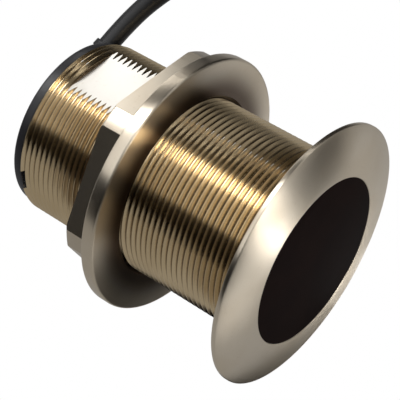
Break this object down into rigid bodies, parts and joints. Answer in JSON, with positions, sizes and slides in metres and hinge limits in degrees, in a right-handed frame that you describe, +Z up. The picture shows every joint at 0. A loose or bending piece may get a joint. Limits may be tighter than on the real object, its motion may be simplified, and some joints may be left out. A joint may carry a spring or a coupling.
{
  "type": "sonar transducer",
  "caption": "Bronze through-hull sonar transducer: threaded stem with a low face flange, black acoustic face, flanged hull nut, rear cap and side-exit cable.",
  "frame": {"origin": "centre of the acoustic face, on the plane of the face", "axes": "+Z up the stem from the face to the rear cap, +X the way the cable leaves the rear cap"},
  "size_m": [0.2504, 0.122, 0.1153],
  "materials": {
    "bronze": "machined, satin",
    "face_urethane": "smooth, dull black",
    "cap_polymer": "moulded, fine grain",
    "cable_jacket": "extruded, semi-matt",
    "boot_rubber": "moulded",
    "piezo_ceramic": "fired, silvered faces",
    "cork_rubber": "cut sheet",
    "solder": "soldered",
    "wire_insulation": "extruded",
    "board_laminate": "glass laminate",
    "ferrite": "sintered",
    "bobbin_plastic": "moulded",
    "copper_winding": "enamelled wire",
    "capacitor_film": "dipped",
    "resistor_body": "chip",
    "thermistor_bead": "epoxy bead",
    "potting_resin": "cast resin",
    "tie_nylon": "moulded",
    "plug_shell": "moulded",
    "plug_insulator": "moulded",
    "contact_metal": "plated",
    "seal_rubber": "moulded ring"
  },
  "bodies": {
    "housing": {"housing": "bronze", "acoustic_window": "face_urethane", "rear_cap": "cap_polymer", "cable_boot": "boot_rubber", "cable": "cable_jacket", "cable_coil": "cable_jacket", "cable_tail": "cable_jacket", "coil_tie_1": "tie_nylon", "coil_tie_2": "tie_nylon", "plug_body": "plug_shell", "plug_insert": "plug_insulator", "plug_pins": "contact_metal", "plug_seal": "seal_rubber", "ceramic_element": "piezo_ceramic", "element_sleeve": "cork_rubber", "backing_pad": "cork_rubber", "electrode_joints": "solder", "element_leads": "wire_insulation", "circuit_board": "board_laminate", "transformer_core_lower": "ferrite", "transformer_core_upper": "ferrite", "transformer_bobbin": "bobbin_plastic", "transformer_winding": "copper_winding", "tuning_capacitor": "capacitor_film", "id_resistors": "resistor_body", "thermistor": "thermistor_bead", "thermistor_leads": "wire_insulation", "conductors": "wire_insulation", "potting_compound": "potting_resin"},
    "hull_nut": {"hull_nut": "bronze"}
  },
  "joints": [
    {"name": "nut_travel", "type": "slide", "parent": "housing", "child": "hull_nut", "axis": [0, 0, 1], "range_m": [-0.044, 0.0315]}
  ]
}
